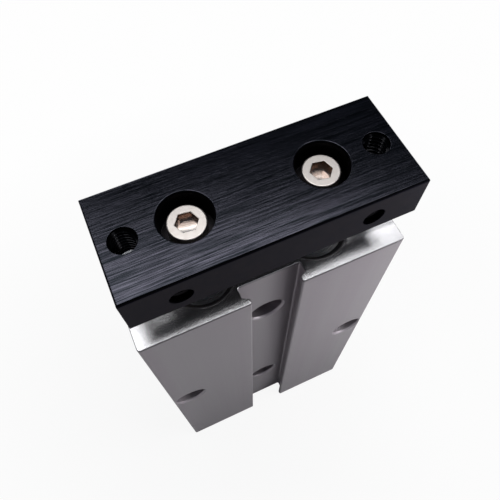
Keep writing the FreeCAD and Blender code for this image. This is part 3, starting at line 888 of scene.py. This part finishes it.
class TWINROD_OT_plate(Operator):
    """Round the tool plate's rims and give it its brushed black finish"""

    bl_idname = "twinrod.plate"
    bl_label = "Tool plate"

    def execute(self, context):
        sizes, colours = settings_of(context)
        rounded_copy("tool_plate", "plate_brushed", sizes.plate_rim, sizes.rim_steps,
                     plate_finish(colours, sizes), "rod_assembly", "plate_black",
                     lambda mesh: countersunk(mesh, sizes.edge_sink))
        return {"FINISHED"}


class TWINROD_OT_cap_screws(Operator):
    """Make the two socket cap screws in the plate"""

    bl_idname = "twinrod.cap_screws"
    bl_label = "Cap screws"

    def execute(self, context):
        sizes, colours = settings_of(context)
        seat_z = SCREW_HIGH.z - sizes.head_height
        pair = [(cap_screw(sizes, turn, seat_z, SCREW_LOW.z), Matrix.Translation((x, 0, 0)))
                for x, turn in ((-BORE_X, sizes.left_turn), (BORE_X, sizes.right_turn))]
        piece_from(creased(joined(pair)), "cap_screws", screw_finish(colours, sizes),
                   "rod_assembly", "screw_steel", "plate_screws")
        return {"FINISHED"}


class TWINROD_OT_threads(Operator):
    """Cut the threads in the plate's tapped holes and in the air ports"""

    bl_idname = "twinrod.threads"
    bl_label = "Tapped threads"

    def execute(self, context):
        sizes, colours = settings_of(context)
        steps = sizes.turn_steps

        low = PLATE_LOW.z - PLATE_HIGH.z + sizes.tap_relief + FLOOR_GAP
        through = tapped_threads(hole_places(PLATE_TAPS), hole_radius(PLATE_TAPS), sizes.tap_pitch,
                                 low, -TAP_LEAD, steps)
        piece_from(through, "plate_tap_threads", tapped_finish(sizes), "rod_assembly", "plate_black")

        towards_front = Matrix.Rotation(math.pi / 2, 4, "X")
        edge = tapped_threads([place @ towards_front for place in hole_places(EDGE_TAPS)],
                              hole_radius(EDGE_TAPS), sizes.edge_pitch,
                              FLOOR_GAP - sizes.edge_depth, -EDGE_LEAD, steps)
        # Painted shade: the threads in the front edge's holes are painted near-black
        edge_thread_shade = grainy_finish("plate_edge_thread_black", PAINTED_SHADE_BLACK, EDGE_TEAR, 5000, (0.2, 0.35), 0.002 * MM,
                             Metallic=1.0, Specular_Tint=BLACK_EDGE)
        piece_from(edge, "plate_edge_threads", edge_thread_shade, "rod_assembly", "plate_black")

        towards_left = Matrix.Rotation(-math.pi / 2, 4, "Y")
        ports = [MOUNTS["rear_port"], MOUNTS["front_port"]]
        dims = ports[0]["dims"]
        half = dims["length_mm"] / 2 * MM
        port = tapped_threads([Matrix.Translation(mount["pos_m"]) @ towards_left for mount in ports],
                              dims["r_mm"] * MM, sizes.port_pitch, FLOOR_GAP - half, half - PORT_LEAD, steps)
        piece_from(port, "port_threads", port_finish(colours), "cylinder", "body_aluminium")
        return {"FINISHED"}


class TWINROD_OT_rods(Operator):
    """Make the two chromed piston rods"""

    bl_idname = "twinrod.rods"
    bl_label = "Piston rods"

    def execute(self, context):
        sizes, colours = settings_of(context)
        chrome = rod_finish(colours)
        for node in both("piston_rod"):
            name = node.replace("piston_rod", "chromed_rod")
            rounded_copy(node, name, sizes.fitting_rim, sizes.rim_steps, chrome, "rod_assembly", "rod_chrome")
        return {"FINISHED"}


class TWINROD_OT_covers(Operator):
    """Make the covers at both ends of the bores"""

    bl_idname = "twinrod.covers"
    bl_label = "Covers"

    def execute(self, context):
        sizes, colours = settings_of(context)
        turned = turned_finish("cover_turned", colours.turned_aluminium)
        for node in both("rod_cover", "rear_cover"):
            rounded_copy(node, "turned_" + node, sizes.fitting_rim, sizes.rim_steps, turned,
                         "cylinder", "cover_aluminium")
        return {"FINISHED"}


class TWINROD_OT_snap_rings(Operator):
    """Make the snap rings that hold the covers"""

    bl_idname = "twinrod.snap_rings"
    bl_label = "Snap rings"

    def execute(self, context):
        sizes, colours = settings_of(context)
        phosphate = grainy_finish("ring_phosphated", colours.ring_phosphate, PHOSPHATE_GRAIN, 6000,
                                  (0.38, 0.6), 0.004 * MM, Metallic=0.85)
        for node in both("front_snap_ring", "rear_snap_ring"):
            rounded_copy(node, "stamped_" + node, sizes.fitting_rim, sizes.rim_steps, phosphate,
                         "cylinder", "ring_steel")
        return {"FINISHED"}


class TWINROD_OT_seals(Operator):
    """Dress the seals, bumpers, bushes and wear rings"""

    bl_idname = "twinrod.seals"
    bl_label = "Seals and bearings"

    def execute(self, context):
        colours = context.scene.twinrod_colours
        nitrile = grainy_finish("seal_nitrile", colours.seal_rubber, NITRILE_BLOOM, 3500,
                                (0.45, 0.7), 0.006 * MM)
        dress(both("rod_seal", "rod_cover_o_ring", "rear_cover_o_ring", "front_piston_seal",
                   "rear_piston_seal", "magnet_washer"), nitrile)
        urethane = grainy_finish("bumper_urethane", colours.bumper_urethane, URETHANE_CLOUD, 900,
                                 (0.3, 0.5), 0.01 * MM)
        dress(both("front_bumper", "rear_bumper"), urethane)
        bronze = grainy_finish("bush_bronze", colours.bush_bronze, BRONZE_PORE, 5000,
                               (0.3, 0.55), 0.006 * MM, Metallic=1.0)
        dress(both("rod_bush"), bronze)
        resin = grainy_finish("wear_ring_resin", colours.wear_resin, RESIN_FILLER, 2500,
                              (0.4, 0.6), 0.006 * MM)
        dress(both("wear_ring"), resin)
        return {"FINISHED"}


class TWINROD_OT_pistons(Operator):
    """Dress the pistons, their magnets and screws"""

    bl_idname = "twinrod.pistons"
    bl_label = "Pistons"

    def execute(self, context):
        sizes, colours = settings_of(context)
        dress(both("piston_front", "piston_rear"), turned_finish("piston_turned", colours.turned_aluminium))
        sintered = grainy_finish("magnet_sintered", colours.magnet_grey, MAGNET_GRAIN, 4000,
                                 (0.45, 0.7), 0.008 * MM, Metallic=0.5)
        dress(both("magnet"), sintered)
        dress(["piston_screws"], screw_finish(colours, sizes))
        return {"FINISHED"}


def turned_to(place, aim, turn):
    """How a lamp or camera is turned that stands at a place and faces a point."""
    facing = (Vector(aim) - Vector(place)).to_track_quat("-Z", "Y").to_matrix()
    return facing @ Matrix.Rotation(turn, 3, "Z")


def lamp(name, place, aim, width, depth, level, turn=0.0):
    """A soft rectangular lamp that faces a point, as bright as its level wherever it is seen."""
    light = bpy.data.lights.new(name, "AREA")
    light.shape = "RECTANGLE"
    light.size = width
    light.size_y = depth
    light.energy = level * math.pi * width * depth
    stand = bpy.data.objects.new(name, light)
    stand.location = place
    stand.rotation_euler = turned_to(place, aim, turn).to_euler()
    stand.visible_camera = False
    bpy.context.scene.collection.objects.link(stand)


class TWINROD_OT_stage(Operator):
    """Set up the floor, the lamps, the surroundings and the camera"""

    bl_idname = "twinrod.stage"
    bl_label = "Stage"

    def execute(self, context):
        stage, colours = context.scene.twinrod_stage, context.scene.twinrod_colours
        self.floor(context.scene, colours, stage)
        self.room(context.scene, stage)
        self.lamps(stage)
        self.camera(context.scene, stage)
        context.scene.view_settings.view_transform = "Standard"
        return {"FINISHED"}

    def floor(self, scene, colours, stage):
        """A wide round sheet of pale paper; it reads as white, and keeps part of the shadow."""
        mesh = bmesh.new()
        bmesh.ops.create_circle(mesh, cap_ends=True, radius=FLOOR_R, segments=96)
        data = bpy.data.meshes.new("floor")
        mesh.to_mesh(data)
        mesh.free()
        sheet = bpy.data.objects.new("floor", data)
        sheet.location.z = BODY_LOW.z - 0.02 * MM
        scene.collection.objects.link(sheet)
        material = bpy.data.materials.new("floor_paper")
        material.use_nodes = True
        finish = Finish(material.node_tree)
        fibre = finish.spread(finish.grain((60, 60, 60), detail=4.0), (0.3, 0.7), (0.0, 0.2))
        pale = finish.mix(fibre, colours.floor, PAPER_FIBRE)
        paper = finish.node("ShaderNodeBsdfDiffuse", None, {"Color": pale})
        white = finish.node("ShaderNodeEmission", None, {"Color": tint(WHITE), "Strength": 1.0})
        x, y, _ = finish.axes()
        away = finish.spread(distance(x, y), FLOOR_WHITE)
        camera, mirrored = self.seen(finish)
        glow = camera * (stage.floor_shade + away * (1 - stage.floor_shade))
        glow = glow + mirrored * (stage.mirror_shade + away * (1 - stage.mirror_shade))
        shown = finish.node("ShaderNodeMixShader", None, {0: glow * stage.floor_glow, 1: paper, 2: white})
        finish.node("ShaderNodeOutputMaterial", None, {"Surface": shown})
        data.materials.append(material)

    def seen(self, finish):
        """1 on rays from the camera, and 1 on rays off metal and through glass; both 0 on other light."""
        paths = finish.node("ShaderNodeLightPath").socket.node.outputs
        camera, glossy, through = [Wire(finish, paths["Is " + name + " Ray"])
                                   for name in ("Camera", "Glossy", "Transmission")]
        return camera, finish.limited(glossy + through) * (1 - camera)

    def room(self, scene, stage):
        """A white backdrop, which lights the part only a little above the horizon, and a dim ceiling."""
        world = bpy.data.worlds.new("room")
        world.use_nodes = True
        scene.world = world
        finish = Finish(world.node_tree)
        facing = finish.node("ShaderNodeTexCoord", out="Generated")
        rise = finish.node("ShaderNodeSeparateXYZ", sockets={0: facing}, out=2)
        camera, mirrored = self.seen(finish)
        shown = (camera + mirrored) * (1 - stage.horizon_fill) + stage.horizon_fill
        high = finish.spread(rise, BACKDROP_RISE) * (1 - camera)
        level = high * (stage.room_level - shown * stage.horizon_level) + shown * stage.horizon_level
        cast = finish.mix(high, WHITE, stage.room_cast)
        light = finish.node("ShaderNodeBackground", None, {"Color": cast, "Strength": level})
        finish.node("ShaderNodeOutputWorld", None, {"Surface": light})

    def lamps(self, stage):
        """Softboxes above, on the right and behind, and a small lamp in front."""
        down = Vector((0, 0, -1))
        above, beside = Vector(stage.overhead_place), Vector(stage.side_place)
        lamp("overhead_softbox", above, above + down, stage.overhead_width, stage.overhead_depth,
             stage.overhead_level, stage.overhead_turn)
        lamp("side_softbox", beside, beside + down, stage.side_width, stage.side_depth, stage.side_level)
        lamp("front_lamp", stage.front_place, stage.front_aim, stage.front_size, stage.front_size,
             stage.front_level)
        lamp("back_softbox", stage.back_place, stage.back_aim, stage.back_width, stage.back_depth,
             stage.back_level)

    def camera(self, scene, stage):
        """The camera that took the picture, as fitted to the part's corners."""
        data = bpy.data.cameras.new("camera")
        data.sensor_width = FRAME_MM
        data.lens = stage.camera_lens
        data.clip_start = 1 * MM
        stand = bpy.data.objects.new("camera", data)
        look = turned_to(stage.camera_place, stage.camera_aim, stage.camera_roll)
        stand.matrix_world = Matrix.Translation(stage.camera_place) @ look.to_4x4()
        scene.collection.objects.link(stand)
        scene.camera = stand


OPERATORS = (
    TWINROD_OT_body,
    TWINROD_OT_plate,
    TWINROD_OT_cap_screws,
    TWINROD_OT_threads,
    TWINROD_OT_rods,
    TWINROD_OT_covers,
    TWINROD_OT_snap_rings,
    TWINROD_OT_seals,
    TWINROD_OT_pistons,
    TWINROD_OT_stage,
)


class TWINROD_PT_panel(Panel):
    """Lists the steps that dress the cylinder"""

    bl_idname = "TWINROD_PT_panel"
    bl_label = "Twin rod cylinder"
    bl_space_type = "VIEW_3D"
    bl_region_type = "UI"
    bl_category = "Cylinder"

    def draw(self, context):
        for operator in OPERATORS:
            self.layout.operator(operator.bl_idname)
        scene = context.scene
        for group in (scene.twinrod_sizes, scene.twinrod_colours, scene.twinrod_stage):
            box = self.layout.box()
            for name in group.__annotations__:
                box.prop(group, name)


CLASSES = (PieceSizes, PieceColours, StageSettings, *OPERATORS, TWINROD_PT_panel)


def register():
    """Adds the classes and their settings to Blender."""
    for item in CLASSES:
        bpy.utils.register_class(item)
    bpy.types.Scene.twinrod_sizes = PointerProperty(type=PieceSizes)
    bpy.types.Scene.twinrod_colours = PointerProperty(type=PieceColours)
    bpy.types.Scene.twinrod_stage = PointerProperty(type=StageSettings)


def unregister():
    """Takes the settings and classes out again."""
    del bpy.types.Scene.twinrod_stage
    del bpy.types.Scene.twinrod_colours
    del bpy.types.Scene.twinrod_sizes
    for item in reversed(CLASSES):
        bpy.utils.unregister_class(item)


def main():
    """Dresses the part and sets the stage."""
    register()
    bpy.ops.twinrod.body()
    bpy.ops.twinrod.plate()
    bpy.ops.twinrod.cap_screws()
    bpy.ops.twinrod.threads()
    bpy.ops.twinrod.rods()
    bpy.ops.twinrod.covers()
    bpy.ops.twinrod.snap_rings()
    bpy.ops.twinrod.seals()
    bpy.ops.twinrod.pistons()
    bpy.ops.twinrod.stage()


if __name__ == "__main__":
    main()
